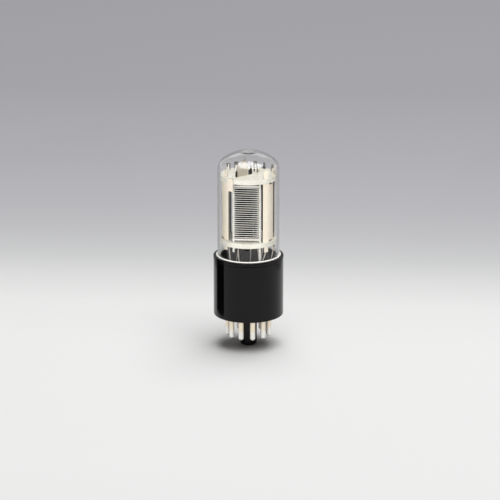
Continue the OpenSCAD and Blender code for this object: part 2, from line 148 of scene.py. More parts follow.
class Graph(NodeSheet):
    """Shorthand for the nodes of one material."""

    def __init__(self, name: str) -> None:
        """Starts a material with a plain surface shader.

        Args:
            name: Name of the material.
        """
        self.material = bpy.data.materials.new(name)
        self.material.use_nodes = True
        super().__init__(self.material.node_tree)
        self.shader = self.tree.nodes["Principled BSDF"]

    def set(self, **values: float | Colour) -> None:
        """Sets constant values on the shader's own sockets.

        Args:
            values: Socket names with underscores for spaces, and their values.
        """
        for name, value in values.items():
            socket = self.shader.inputs[name.replace("_", " ")]
            socket.default_value = (*value, 1.0) if isinstance(value, tuple) else value

    def place(self) -> Socket:
        """Gives the place on the object, in metres."""
        return self.node("TexCoord").outputs["Object"]

    def along(self, axis: Axis) -> Socket:
        """Gives the place along an axis.

        Args:
            axis: The axis.

        Returns:
            The coordinate in metres.
        """
        split = self.node("SeparateXYZ")
        self.link(self.place(), split.inputs["Vector"])
        return split.outputs[axis.value]

    def noise(
        self, size_mm: float, detail: float = 4.0, stretch: Point = (1.0, 1.0, 1.0)
    ) -> Socket:
        """Makes noise whose patches have about a given size.

        Args:
            size_mm: Size of a patch in millimetres.
            detail: How many finer layers are added.
            stretch: Scale of the noise along each axis.

        Returns:
            The noise's value, from 0 to 1.
        """
        mapping = self.node("Mapping")
        mapping.inputs["Scale"].default_value = stretch
        self.link(self.place(), mapping.inputs["Vector"])
        noise = self.node("TexNoise")
        noise.inputs["Scale"].default_value = 1.0 / (size_mm * MM)
        noise.inputs["Detail"].default_value = detail
        self.link(mapping.outputs["Vector"], noise.inputs["Vector"])
        return noise.outputs["Fac"]

    def ramp(self, value: Socket, stops: Sequence[Stop]) -> Socket:
        """Turns a value into colours.

        Args:
            value: The value to read.
            stops: Positions and the colours there.

        Returns:
            The colour.
        """
        ramp = self.node("ValToRGB")
        elements = ramp.color_ramp.elements
        while len(elements) < len(stops):
            elements.new(0.5)
        for element, (position, colour) in zip(elements, stops):
            element.position = position
            element.color = (*colour, 1.0)
        self.link(value, ramp.inputs["Fac"])
        return ramp.outputs["Color"]

    def span(
        self,
        value: Socket,
        low: float = 0.0,
        high: float = 1.0,
        start: float = 0.0,
        end: float = 1.0,
    ) -> Socket:
        """Spreads a value over a range, and holds the range's ends outside it.

        Args:
            value: The value to read.
            low: Result at the start.
            high: Result at the end.
            start: Value at the start.
            end: Value at the end.

        Returns:
            The spread value.
        """
        node = self.node("MapRange")
        node.inputs["From Min"].default_value = start
        node.inputs["From Max"].default_value = end
        node.inputs["To Min"].default_value = low
        node.inputs["To Max"].default_value = high
        self.link(value, node.inputs["Value"])
        return node.outputs["Result"]

    def mix(self, factor: Socket, first: Socket, second: Socket) -> Socket:
        """Mixes two colours.

        Args:
            factor: 0 for the first colour, 1 for the second.
            first: First colour.
            second: Second colour.

        Returns:
            The mixed colour.
        """
        node = self.node("Mix")
        node.data_type = "RGBA"
        self.link(factor, node.inputs["Factor"])
        self.link(first, node.inputs["A"])
        self.link(second, node.inputs["B"])
        return node.outputs["Result"]

    def colour(self, source: Socket) -> None:
        """Drives the base colour."""
        self.link(source, self.shader.inputs["Base Color"])

    def roughness(self, source: Socket) -> None:
        """Drives the roughness."""
        self.link(source, self.shader.inputs["Roughness"])

    def bump(self, height: Socket, depth_mm: float, strength: float = 1.0) -> None:
        """Raises the surface by a height map.

        Args:
            height: Height from 0 to 1.
            depth_mm: Depth of the relief in millimetres.
            strength: Share of the relief that shows.
        """
        node = self.node("Bump")
        node.inputs["Strength"].default_value = strength
        node.inputs["Distance"].default_value = depth_mm * MM
        self.link(height, node.inputs["Height"])
        self.link(node.outputs["Normal"], self.shader.inputs["Normal"])


class Finish(ABC):
    """A surface finish that can be made into a material."""

    @abstractmethod
    def make(self) -> Material:
        """Makes the material."""


@dataclass(frozen=True)
class MouldedPhenolic(Finish):
    """Glossy black moulding with faint flow marks."""

    dark: Colour = (0.002, 0.0019, 0.0021)
    light: Colour = (0.004, 0.0037, 0.0041)
    gloss_low: float = 0.07
    gloss_high: float = 0.13

    def make(self) -> Material:
        """Makes the black moulding.

        Returns:
            The material.
        """
        graph = Graph("moulded_phenolic")
        flow = graph.noise(size_mm=3.0, detail=6.0, stretch=(1.0, 1.0, 0.35))
        graph.colour(graph.ramp(flow, [(0.3, self.dark), (0.75, self.light)]))
        patch = graph.noise(size_mm=1.2)
        graph.roughness(graph.span(patch, low=self.gloss_low, high=self.gloss_high))
        graph.bump(graph.noise(size_mm=0.8, detail=2.0), depth_mm=0.004, strength=0.25)
        graph.set(Specular_IOR_Level=0.24)
        return graph.material


@dataclass(frozen=True)
class DrawnGlass(Finish):
    """Clear glass with the faint waviness of a drawn bulb."""

    name: str = "drawn_glass"
    tint: Colour = (0.992, 0.997, 0.994)
    wave_mm: float = 0.012
    ior: float = 1.42

    def make(self) -> Material:
        """Makes the clear glass.

        Returns:
            The material.
        """
        graph = Graph(self.name)
        graph.set(Base_Color=self.tint, Roughness=0.0, IOR=self.ior, Transmission_Weight=1.0)
        wave = graph.noise(size_mm=7.0, detail=1.0, stretch=(1.0, 1.0, 0.3))
        graph.bump(wave, depth_mm=self.wave_mm, strength=0.35)
        return graph.material


@dataclass(frozen=True)
class UnglazedCeramic(Finish):
    """Cream ceramic with fine speckle and a dry surface."""

    pale: Colour = (0.86, 0.835, 0.755)
    warm: Colour = (0.78, 0.745, 0.645)
    speck: Colour = (0.6, 0.55, 0.46)
    stain: Colour = (0.56, 0.51, 0.42)

    def make(self) -> Material:
        """Makes the ceramic.

        Returns:
            The material.
        """
        graph = Graph("unglazed_ceramic")
        cloud = graph.noise(size_mm=2.6, detail=3.0)
        body = graph.ramp(cloud, [(0.35, self.warm), (0.7, self.pale)])
        dark = graph.ramp(graph.noise(size_mm=4.0), [(0.3, self.stain), (0.7, self.speck)])
        speckle = graph.noise(size_mm=0.22, detail=1.0)
        spots = graph.ramp(speckle, [(0.7, (0.0, 0.0, 0.0)), (0.78, (0.4, 0.4, 0.4))])
        graph.colour(graph.mix(spots, body, dark))
        graph.roughness(graph.span(graph.noise(size_mm=0.9), low=0.55, high=0.75))
        graph.bump(graph.noise(size_mm=0.15, detail=3.0), depth_mm=0.01, strength=0.5)
        graph.set(Specular_IOR_Level=0.15)
        return graph.material


@dataclass(frozen=True)
class SatinNickel(Finish):
    """Electrode sheet of warm satin nickel with rolling marks along its height."""

    name: str = "satin_nickel"
    pale: Colour = (0.95, 0.86, 0.72)
    warm: Colour = (0.9, 0.79, 0.635)
    # Colour of the side facing the axis: the dynodes' coating, darkened further as painted shade of
    # the cage's inside
    coat_and_shade: Colour = (0.08, 0.072, 0.063)
    metal: float = 0.08
    turn_mm: float = 2.0

    def make(self) -> Material:
        """Makes the satin nickel.

        Returns:
            The material.
        """
        graph = Graph(self.name)
        streak = graph.noise(size_mm=0.5, detail=4.0, stretch=(1.0, 1.0, 0.05))
        cloud = graph.noise(size_mm=3.5, detail=3.0)
        tone = graph.ramp(cloud, [(0.3, self.warm), (0.7, self.pale)])
        line = graph.ramp(streak, [(0.3, self.warm), (0.65, self.pale)])
        share = graph.span(graph.noise(size_mm=6.0), low=0.25, high=0.6)
        sheet = graph.mix(share, tone, line)
        # Inner side: part coating, part painted shade of the dim inside of the cage
        deep_coat_and_shade = tuple(0.8 * c for c in self.coat_and_shade)
        inner_coat_and_shade = graph.ramp(cloud, [(0.3, deep_coat_and_shade), (0.7, self.coat_and_shade)])
        graph.colour(graph.mix(self.outward(graph), inner_coat_and_shade, sheet))
        graph.roughness(graph.span(streak, low=0.36, high=0.52))
        graph.bump(streak, depth_mm=0.004, strength=0.4)
        graph.set(Metallic=self.metal)
        return graph.material

    def outward(self, graph: Graph) -> Socket:
        """Tells the sheet's outer side from the inner side that faces the tube's axis, which is
        painted dark, partly as the dynodes' coating and partly as painted shade.

        Args:
            graph: The material's nodes.

        Returns:
            1 on the outer side, 0 on the inner side.
        """
        flat, facing = graph.node("VectorMath"), graph.node("VectorMath")
        flat.operation, facing.operation = "MULTIPLY", "DOT_PRODUCT"
        flat.inputs[1].default_value = (1.0, 1.0, 0.0)
        graph.link(graph.place(), flat.inputs[0])
        graph.link(flat.outputs["Vector"], facing.inputs[0])
        graph.link(graph.node("NewGeometry").outputs["Normal"], facing.inputs[1])
        turn = self.turn_mm * MM
        return graph.span(facing.outputs["Value"], start=-turn, end=turn)


@dataclass(frozen=True)
class DarkCathode(Finish):
    """Dark, half polished coating of the photocathode, made near black as painted shade of the
    cage's inside.
    """

    dark: Colour = (0.01, 0.0095, 0.01)
    light: Colour = (0.024, 0.022, 0.022)

    def make(self) -> Material:
        """Makes the cathode coating.

        Returns:
            The material.
        """
        graph = Graph("dark_cathode")
        cloud = graph.noise(size_mm=4.0, detail=3.0)
        # Near-black tone: the cathode's dark coating, darkened further as painted shade of the
        # cage's inside
        graph.colour(graph.ramp(cloud, [(0.3, self.dark), (0.75, self.light)]))
        graph.roughness(graph.span(graph.noise(size_mm=1.0), low=0.14, high=0.24))
        graph.bump(graph.noise(size_mm=1.4, detail=2.0), depth_mm=0.004, strength=0.3)
        graph.set(Metallic=1.0)
        return graph.material


@dataclass(frozen=True)
class DrawnNickel(Finish):
    """Bright drawn nickel wire with fine lines along it."""

    name: str
    pale: Colour
    warm: Colour
    rough_low: float = 0.22
    rough_high: float = 0.36

    def make(self) -> Material:
        """Makes the wire.

        Returns:
            The material.
        """
        graph = Graph(self.name)
        cloud = graph.noise(size_mm=0.9, detail=4.0)
        graph.colour(graph.ramp(cloud, [(0.3, self.warm), (0.7, self.pale)]))
        graph.roughness(graph.span(cloud, low=self.rough_low, high=self.rough_high))
        graph.bump(graph.noise(size_mm=0.12, detail=2.0), depth_mm=0.003, strength=0.4)
        graph.set(Metallic=0.3)
        return graph.material


@dataclass(frozen=True)
class PlatedPin(Finish):
    """Nickel-plated brass, dipped in tin at the tip up to an uneven line."""

    plated: Colour = (0.86, 0.78, 0.63)
    worn: Colour = (0.825, 0.74, 0.58)
    tinned: Colour = (0.9, 0.885, 0.83)
    tin_top_mm: float = 9.0
    tin_fade_mm: float = 0.7

    def make(self) -> Material:
        """Makes the pin's plating and its tinned tip.

        Returns:
            The material.
        """
        graph = Graph("plated_pin")
        worn_spots = graph.noise(size_mm=1.3, detail=5.0, stretch=(1.0, 1.0, 0.4))
        wear = graph.ramp(worn_spots, [(0.3, self.worn), (0.6, self.plated)])
        grey = tuple(0.9 * c for c in self.tinned)
        tin = graph.ramp(graph.noise(size_mm=0.6), [(0.2, grey), (0.7, self.tinned)])
        top, fade = self.tin_top_mm * MM, self.tin_fade_mm * MM
        wobble = graph.noise(size_mm=1.6)
        height = graph.work_out(Sum.ADD_PRODUCT, wobble, 2.0 * fade, graph.along(Axis.Z))
        graph.colour(graph.mix(graph.span(height, start=top, end=top + fade), tin, wear))
        graph.roughness(graph.span(graph.noise(size_mm=0.8), low=0.28, high=0.4))
        graph.set(Metallic=0.6)
        return graph.material


@dataclass(frozen=True)
class SolderDrop(Finish):
    """Dull bright solder with a grainy skin."""

    pale: Colour = (0.8, 0.8, 0.78)
    dull: Colour = (0.62, 0.62, 0.6)

    def make(self) -> Material:
        """Makes the solder.

        Returns:
            The material.
        """
        graph = Graph("solder")
        grain = graph.noise(size_mm=0.35, detail=4.0)
        graph.colour(graph.ramp(grain, [(0.3, self.dull), (0.7, self.pale)]))
        graph.roughness(graph.span(grain, low=0.25, high=0.5))
        graph.bump(grain, depth_mm=0.02, strength=0.5)
        graph.set(Metallic=1.0)
        return graph.material


@dataclass(frozen=True)
class BasingCement(Finish):
    """Matt cement with a coarse grain, pale on the bead at the rim and near black below it, as
    painted shade in the gap inside the base.
    """

    pale: Colour = (0.9, 0.885, 0.84)
    dull: Colour = (0.82, 0.8, 0.75)
    # Near-black colours below the rim: painted shade of the narrow gap between bulb and base
    gap_shade: Colour = (0.03, 0.027, 0.025)
    gap_deep_shade: Colour = (0.016, 0.014, 0.013)
    bead_low_mm: float = 43.1
    bead_high_mm: float = 43.4

    def make(self) -> Material:
        """Makes the cement.

        Returns:
            The material.
        """
        graph = Graph("basing_cement")
        grain = graph.noise(size_mm=0.5, detail=6.0)
        start, end = self.bead_low_mm * MM, self.bead_high_mm * MM
        bead_share = graph.span(graph.along(Axis.Z), start=start, end=end)
        # Below the rim the cement is painted near black as shade in the gap
        gap_shade_tone = graph.ramp(grain, [(0.3, self.gap_deep_shade), (0.7, self.gap_shade)])
        bead = graph.ramp(grain, [(0.3, self.dull), (0.7, self.pale)])
        graph.colour(graph.mix(bead_share, gap_shade_tone, bead))
        graph.roughness(graph.span(grain, low=0.8, high=0.95))
        graph.bump(grain, depth_mm=0.03, strength=0.4)
        return graph.material


@dataclass(frozen=True)
class PaperSweep(Finish):
    """Pale paper floor whose colour darkens behind the object, as painted fall-off of the light."""

    stops: tuple[Stop, ...]
    reach: float

    def make(self) -> Material:
        """Makes the floor's paper.

        Returns:
            The material.
        """
        graph = Graph("paper_sweep")
        share = graph.work_out(Sum.QUOTIENT, graph.along(Axis.Y), self.reach)
        graph.colour(graph.ramp(share, self.stops))
        graph.bump(graph.noise(size_mm=0.6, detail=3.0), depth_mm=0.02, strength=0.15)
        graph.set(Roughness=0.9, Specular_IOR_Level=0.1)
        return graph.material


@dataclass(frozen=True)
class CardFelt(Finish):
    """Felt of a card that shows only in reflections, and that all other light passes."""

    name: str = "black_felt"
    dark: Colour = (0.004, 0.004, 0.004)
    light: Colour = (0.012, 0.012, 0.012)

    def make(self) -> Material:
        """Makes the felt.

        Returns:
            The material.
        """
        graph = Graph(self.name)
        graph.colour(graph.ramp(graph.noise(size_mm=2.0), [(0.3, self.dark), (0.7, self.light)]))
        graph.set(Roughness=1.0, Specular_IOR_Level=0.0)
        path = graph.node("LightPath").outputs
        straight = graph.work_out(Sum.DIFFERENCE, 1.0, path["Glossy Depth"])
        clear = graph.work_out(Sum.LARGER, straight, path["Diffuse Depth"])
        glass = graph.node("BsdfTransparent").outputs["BSDF"]
        out = graph.tree.nodes["Material Output"].inputs["Surface"]
        graph.choose(clear, graph.shader.outputs["BSDF"], glass, out)
        return graph.material


@dataclass(frozen=True)
class LampCloth(Finish):
    """Cloth of a soft box that fades to its edges, is only seen mirrored and lights nothing."""

    middle: Pair = (0.1, -0.16)
    half: Pair = (0.74, 0.5)
    even: float = 0.55
    glow: float = 17.0
    dull: Colour = (0.7, 0.7, 0.7)
    pale: Colour = (0.8, 0.8, 0.8)
    warmth: Colour = (1.0, 0.995, 0.98)

    def make(self) -> Material:
        """Makes the cloth.

        Returns:
            The material.
        """
        graph = Graph("lamp_cloth")
        graph.colour(graph.ramp(graph.noise(size_mm=4.0), [(0.3, self.dull), (0.7, self.pale)]))
        graph.set(Roughness=1.0, Emission_Color=self.warmth)
        across, deep = self.fade(graph, Axis.X, 1.0), self.fade(graph, Axis.Y, self.glow)
        glow = graph.work_out(Sum.PRODUCT, across, deep)
        graph.link(glow, graph.shader.inputs["Emission Strength"])
        graph.material.cycles.emission_sampling = "NONE"
        return graph.material

    def fade(self, graph: Graph, axis: Axis, level: float) -> Socket:
        """Fades the glow towards both edges along one axis.

        Args:
            graph: The material's nodes.
            axis: The axis.
            level: Glow in the middle.

        Returns:
            The glow along the axis.
        """
        middle, half = self.middle[axis.value], self.half[axis.value]
        away = graph.work_out(Sum.DIFFERENCE, graph.along(axis), middle)
        away = graph.work_out(Sum.SIZE, away)
        return graph.span(away, low=level, high=0.0, start=self.even * half, end=half)


def metres(points: Iterable[Sequence[float]]) -> list[Vector]:
    """Turns points in millimetres into vectors in metres.

    Args:
        points: Points with three coordinates.

    Returns:
        The vectors.
    """
    return [Vector(point) * MM for point in points]


def add_mesh(
    name: str, points: Sequence[Vector], faces: Sequence[Sequence[int]], material: Material
) -> Piece:
    """Makes a smooth mesh object and puts it in the scene.

    Args:
        name: Name of the object.
        points: Its points in metres.
        faces: Its faces, as numbers of points.
        material: Its material.

    Returns:
        The object.
    """
    mesh = bpy.data.meshes.new(name)
    mesh.from_pydata([tuple(p) for p in points], [], faces)
    mesh.validate()
    mesh.polygons.foreach_set("use_smooth", [True] * len(mesh.polygons))
    mesh.materials.append(material)
    mesh.update()
    piece = bpy.data.objects.new(name, mesh)
    bpy.context.scene.collection.objects.link(piece)
    return piece


def revolve(
    name: str, profile: Sequence[Pair], sides: int, material: Material
) -> Piece:
    """Turns a closed profile round the vertical axis.

    Args:
        name: Name of the object.
        profile: Radius and height of each point in millimetres, in order round the section, the
            last joined to the first; radius 0 makes a pole.
        sides: Number of sides.
        material: Its material.

    Returns:
        The turned object.
    """
    points: list[Vector] = []
    rings: list[list[int]] = []
    for radius, height in profile:
        start = len(points)
        if radius < POLE_MM:
            points.append(Vector((0.0, 0.0, height)) * MM)
            rings.append([start] * sides)
            continue
        for k in range(sides):
            angle = 2.0 * math.pi * k / sides
            points.append(Vector((radius * math.cos(angle), radius * math.sin(angle), height)) * MM)
        rings.append(list(range(start, start + sides)))
    faces: list[list[int]] = []
    for low, high in zip(rings, rings[1:] + rings[:1]):
        for k in range(sides):
            corners = [low[k], low[(k + 1) % sides], high[(k + 1) % sides], high[k]]
            face = list(dict.fromkeys(corners))
            if len(face) > 2:
                faces.append(face)
    return add_mesh(name, points, faces, material)


def tube(
    name: str, path: Sequence[Vector], radius_mm: float, sides: int, material: Material
) -> Piece:
    """Sweeps a round section along a path.

    Args:
        name: Name of the object.
        path: Points along the middle, in metres.
        radius_mm: Radius of the section in millimetres.
        sides: Number of sides.
        material: Its material.

    Returns:
        The tube, closed at both ends.
    """
    points: list[Vector] = []
    faces: list[list[int]] = []
    last = len(path) - 1
    across = Vector((0.0, 0.0, 1.0))
    if abs((path[1] - path[0]).normalized().dot(across)) > UPRIGHT:
        across = Vector((1.0, 0.0, 0.0))
    for i, centre in enumerate(path):
        along = (path[min(i + 1, last)] - path[max(i - 1, 0)]).normalized()
        side = along.cross(across).normalized()
        across = side.cross(along)
        for k in range(sides):
            angle = 2.0 * math.pi * k / sides
            out = math.cos(angle) * side + math.sin(angle) * across
            points.append(centre + radius_mm * MM * out)
    for i in range(last):
        for k in range(sides):
            a, b = i * sides + k, i * sides + (k + 1) % sides
            faces.append([a, b, b + sides, a + sides])
    faces.append(list(range(sides))[::-1])
    faces.append(list(range(last * sides, (last + 1) * sides)))
    return add_mesh(name, points, faces, material)


def rounded_path(corners: Sequence[Vector], reach_mm: float, steps: int) -> list[Vector]:
    """Rounds the corners of a path.

    Args:
        corners: Corners of the path in metres.
        reach_mm: How far from a corner its rounding starts, in millimetres.
        steps: Number of steps in each rounding.

    Returns:
        The rounded path.
    """
    path = [corners[0]]
    for before, corner, after in zip(corners, corners[1:], corners[2:]):
        reach = min(reach_mm * MM, (corner - before).length / 2.0, (after - corner).length / 2.0)
        start = corner + (before - corner).normalized() * reach
        end = corner + (after - corner).normalized() * reach
        for k in range(steps + 1):
            t = k / steps
            path.append((1 - t) ** 2 * start + 2 * t * (1 - t) * corner + t**2 * end)
    path.append(corners[-1])
    return path


def carried(piece: Piece, slot: Slot, *nodes: str) -> None:
    """Lets a piece ride on the tube in place of CAD nodes.

    Args:
        piece: The new piece.
        slot: Not used.
        nodes: CAD nodes that it stands for.
    """
    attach(piece, "root")
    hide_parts(*nodes)
    log.info("built %s for %s", piece.name, ", ".join(nodes))


def dress(material: Material, nodes: Iterable[str]) -> None:
    """Gives CAD nodes a finish.

    Args:
        material: The finish.
        nodes: Names of the nodes.
    """
    for node in nodes:
        for slot in bpy.data.objects[node].material_slots:
            slot.material = material
        log.info("dressed %s in %s", node, material.name)


@dataclass
class PlugBase:
    """Black base with its cement ring, pins and solder."""

    pins: int = 11
    cement_low: float = 30.4
    rim: float = 43.4
    bulb_radius: float = 14.25
    cavity: float = 14.6
    bead_out: float = 14.9
    bead_rise: float = 0.4
    bead_lift: float = 0.01
    bead_steps: int = 6
    sides: int = 160

    def build(self) -> None:
        """Builds the cement with a rounded bead that lies on the rim."""
        low, over = self.cement_low, self.rim + self.bead_lift
        section = [(self.bulb_radius, low), (self.cavity, low), (self.cavity, over)]
        for k in range(self.bead_steps + 1):
            angle = math.pi / 2.0 * k / self.bead_steps
            out = (self.bead_out - self.bulb_radius) * math.cos(angle)
            section.append((self.bulb_radius + out, over + self.bead_rise * math.sin(angle)))
        ring = revolve("cement_ring", section, self.sides, BasingCement().make())
        carried(ring, Slot.CEMENT, "base_cement")

    def dress(self) -> None:
        """Dresses the base's CAD nodes."""
        dress(MouldedPhenolic().make(), ["base_shell"])
        dress(PlatedPin().make(), [f"contact_pin_{i}" for i in range(1, self.pins + 1)])
        dress(SolderDrop().make(), ["solder_drops"])


@dataclass
class GlassBulb:
    """Bulb with a flattened dome, turned more finely than its CAD node."""

    radius: float = 14.25
    wall: float = 1.0
    foot: float = 29.0
    shoulder: float = 83.5
    dome: float = 9.0
    corner: float = 6.5
    crown_wall: float = 1.2
    seal: float = 4.4
    seal_drop: float = 0.25
    sides: int = 160
    side_steps: int = 16
    arc_steps: int = 32
    stem_tint: Colour = (0.93, 0.97, 0.955)
    stem_wave: float = 0.02

    def half_section(self, radius: float, dome: float, corner: float) -> list[Pair]:
        """Draws a side, a rounded shoulder and a shallow crown that meet smoothly.

        Args:
            radius: Radius of the straight side.
            dome: Height of the crown over the shoulder's start.
            corner: Radius of the shoulder.

        Returns:
            Radius and height of the points from the shoulder's start to the pole.
        """
        inner = radius - corner
        crown = (dome**2 + inner**2 - corner**2) / (2.0 * (dome - corner))
        middle = self.shoulder + dome - crown
        meet = math.atan2(self.shoulder - middle, inner)
        points = [
            (inner + corner * math.cos(meet * k / self.arc_steps),
             self.shoulder + corner * math.sin(meet * k / self.arc_steps))
            for k in range(self.arc_steps + 1)
        ]
        for k in range(1, self.arc_steps + 1):
            angle = meet + (math.pi / 2.0 - meet) * k / self.arc_steps
            points.append((crown * math.cos(angle), middle + crown * math.sin(angle)))
        points[-1] = (0.0, middle + crown)
        return points

    def build(self) -> Piece:
        """Builds the bulb in clear glass.

        Returns:
            The bulb.
        """
        glass = DrawnGlass().make()
        step = (self.shoulder - self.foot) / self.side_steps
        rise = [self.foot + step * k for k in range(self.side_steps)]
        outer = [(self.radius, z) for z in rise]
        outer += self.half_section(self.radius, self.dome, self.corner)
        bore = self.radius - self.wall
        inner = [(bore, z) for z in rise]
        for r, z in self.half_section(bore, self.dome - self.crown_wall, self.corner - self.wall):
            share = (1.0 + math.cos(math.pi * min(r / self.seal, 1.0))) / 2.0
            inner.append((r, z - self.seal_drop * share))
        bulb = revolve("bulb_shell", outer + inner[::-1], self.sides, glass)
        bulb.visible_shadow = False
        carried(bulb, Slot.BULB_GLASS, "glass_bulb")
        return bulb

    def dress(self) -> None:
        """Dresses the stem and the exhaust tip."""
        glass = DrawnGlass("pressed_glass", tint=self.stem_tint, wave_mm=self.stem_wave)
        dress(glass.make(), ["glass_stem", "exhaust_tip"])


@dataclass
class ElectrodeCage:
    """Ceramic discs with the electrodes between them."""

    dynodes: int = 9
    # Darker copy of the satin nickel's colours for the top shield: painted shade
    shaded_pale: Colour = (0.82, 0.745, 0.625)
    shaded_warm: Colour = (0.75, 0.665, 0.54)

    def dress(self) -> None:
        """Dresses the cage's CAD nodes."""
        dress(UnglazedCeramic().make(), ["lower_insulator", "upper_insulator"])
        sheet = [f"dynode_{n}" for n in range(1, self.dynodes + 1)]
        dress(SatinNickel().make(), sheet + ["cathode_shield", "bulb_spacers"])
        # The top shield gets the darker copy of the satin nickel as painted shade
        shaded_copy = SatinNickel("shaded_nickel", pale=self.shaded_pale, warm=self.shaded_warm)
        dress(shaded_copy.make(), ["top_shield"])
        dress(DarkCathode().make(), ["photocathode"])


@dataclass
class EntranceGrid:
    """Wound grid in front of the photocathode."""

    post_x: float = 5.9
    plane_y: float = -9.2
    wrap: float = 0.63
    wire: float = 0.3
    low: float = 54.1
    high: float = 77.3
    turns: int = 24
    lug: float = 0.6
    back_run: tuple[Pair, ...] = ((0.72, 0.56), (0.0, 0.62), (-0.8, 0.68))
    sides: int = 10
    wrap_steps: int = 16
    pale: Colour = (0.95, 0.93, 0.88)
    warm: Colour = (0.88, 0.85, 0.78)

    def metal(self) -> Material:
        """Makes the finish of the wire and the posts."""
        return DrawnNickel("grid_nickel_wire", self.pale, self.warm).make()

    def turn(self, base: float, pitch: float) -> list[Point]:
        """Draws one turn from the middle of the front run.

        Args:
            base: Height of the front run.
            pitch: How far the back run climbs.

        Returns:
            Points of the turn in millimetres.
        """
        points: list[Point] = [(0.0, self.plane_y - self.wrap, base)]
        points += self.bend(self.post_x, -math.pi / 2.0, base)
        back = self.plane_y + self.wrap
        points += [(x * self.post_x, back, base + rise * pitch) for x, rise in self.back_run]
        return points + self.bend(-self.post_x, math.pi / 2.0, base + pitch)

    def bend(self, post: float, start: float, height: float) -> list[Point]:
        """Draws half a turn round a post.

        Args:
            post: Where the post stands, from side to side.
            start: Angle at which the half turn starts.
            height: Its height.

        Returns:
            Points of the half turn in millimetres.
        """
        angles = [start + math.pi * k / self.wrap_steps for k in range(self.wrap_steps + 1)]
        return [
            (post + self.wrap * math.cos(a), self.plane_y + self.wrap * math.sin(a), height)
            for a in angles
        ]

    def build(self, finish: Material) -> None:
        """Builds the wire in one piece.

        Args:
            finish: Its material.
        """
        pitch = (self.high - self.low) / (self.turns - 1)
        front = self.plane_y - self.wrap
        route: list[Point] = [(-self.post_x + self.lug / 2.0, front, self.low)]
        for n in range(self.turns - 1):
            route += self.turn(self.low + n * pitch, pitch)
        route += [(0.0, front, self.high), (self.post_x - self.lug / 2.0, front, self.high)]
        wire = tube("grid_wire", metres(route), self.wire / 2.0, self.sides, finish)
        carried(wire, Slot.GRID_NICKEL, "grid_winding")

    def dress(self, finish: Material) -> None:
        """Dresses the posts, the bars and the anode.

        Args:
            finish: Their material.
        """
        dress(finish, ["grid_post_left", "grid_post_right", "grid_cross_bars", "anode_grid"])


@dataclass
class LeadWires:
    """Stiff leads from the pins through the stem to the electrodes, with rounded bends."""

    count: int = 11
    wire: float = 0.5
    pin_circle: float = 19.05
    stem_circle: float = 16.4
    floor: float = 20.2
    stem_under: float = 25.0
    stem_over: float = 30.0
    weld_low: float = 46.0
    bend: float = 3.0
    bend_steps: int = 8
    end_slice: float = 0.1
    sides: int = 12
    pale: Colour = (0.74, 0.7, 0.64)
    warm: Colour = (0.58, 0.53, 0.46)

    def corners(self, node: str) -> list[Vector]:
        """Finds a lead's route from the ends of its CAD node.

        Args:
            node: Name of the node.

        Returns:
            Corners of the route in metres.
        """
        points = [vertex.co for vertex in bpy.data.objects[node].data.vertices]
        low, high = min(p.z for p in points), max(p.z for p in points)
        foot = [p for p in points if p.z < low + self.end_slice * MM]
        head = [p for p in points if p.z > high - self.end_slice * MM]
        pin = sum(foot, Vector()) / len(foot)
        weld = sum(head, Vector()) / len(head)
        seal = pin * (self.stem_circle / self.pin_circle)
        return [
            Vector((pin.x, pin.y, low)),
            Vector((pin.x, pin.y, self.floor * MM)),
            Vector((seal.x, seal.y, self.stem_under * MM)),
            Vector((seal.x, seal.y, self.stem_over * MM)),
            Vector((weld.x, weld.y, self.weld_low * MM)),
            Vector((weld.x, weld.y, high)),
        ]

    def build(self) -> None:
        """Builds each lead in its own piece."""
        metal = DrawnNickel("lead_nickel", self.pale, self.warm, rough_low=0.3, rough_high=0.45)
        finish = metal.make()
        for i in range(1, self.count + 1):
            node = f"lead_wire_{i}"
            path = rounded_path(self.corners(node), self.bend, self.bend_steps)
            lead = tube(f"lead_{i}", path, self.wire / 2.0, self.sides, finish)
            carried(lead, Slot.LEAD_METAL, node)


def rectangle(ends: Corners) -> tuple[Point, ...]:
    """Finds the corners of a lying or an upright rectangle.

    Args:
        ends: Two corners that lie across from each other.

    Returns:
        The four corners in order.
    """
    low, high = ends
    (x0, y0, z0), (x1, y1, z1) = ends
    if z0 == z1:
        return (low, (x1, y0, z0), high, (x0, y1, z0))
    return (low, (x1, y1, z0), high, (x0, y0, z1))


@dataclass(frozen=True)
class Card:
    """Flat card that only shows in polished surfaces."""

    name: str
    corners: tuple[Point, ...]
    finish: Finish

    def build(self) -> Piece:
        """Places the card.

        Returns:
            The card.
        """
        corners = [Vector(corner) for corner in self.corners]
        card = add_mesh(self.name, corners, [range(len(corners))], self.finish.make())
        card.visible_camera = False
        card.visible_diffuse = False
        card.visible_transmission = isinstance(self.finish, CardFelt)
        card.visible_shadow = False
        log.info("placed %s", self.name)
        return card


@dataclass(frozen=True)
class SoftLamp:
    """Soft box that lights the tube and isn't mirrored in it."""

    name: str
    spot: Point
    size: Pair
    radiance: float

    def build(self, aim: Point) -> Piece:
        """Hangs the lamp. A radiance of 1 is that of a white floor.

        Args:
            aim: What it points at.

        Returns:
            The lamp.
        """
        light = bpy.data.lights.new(self.name, "AREA")
        light.shape = "RECTANGLE"
        light.size, light.size_y = self.size
        light.energy = self.radiance * math.pi * self.size[0] * self.size[1]
        lamp = bpy.data.objects.new(self.name, light)
        lamp.location = self.spot
        away = Vector(aim) - Vector(self.spot)
        lamp.rotation_euler = away.to_track_quat("-Z", "Y").to_euler()
        lamp.visible_camera = False
        lamp.visible_transmission = False
        lamp.visible_glossy = False
        bpy.context.scene.collection.objects.link(lamp)
        log.info("hung %s", self.name)
        return lamp


def shine_on(source: Piece, pieces: Iterable[Piece]) -> None:
    """Keeps the light of a lamp or a glowing card to some pieces.

    Args:
        source: The lamp or card.
        pieces: What it shines on.
    """
    group = bpy.data.collections.new(source.name)
    for piece in pieces:
        group.objects.link(piece)
    source.light_linking.receiver_collection = group


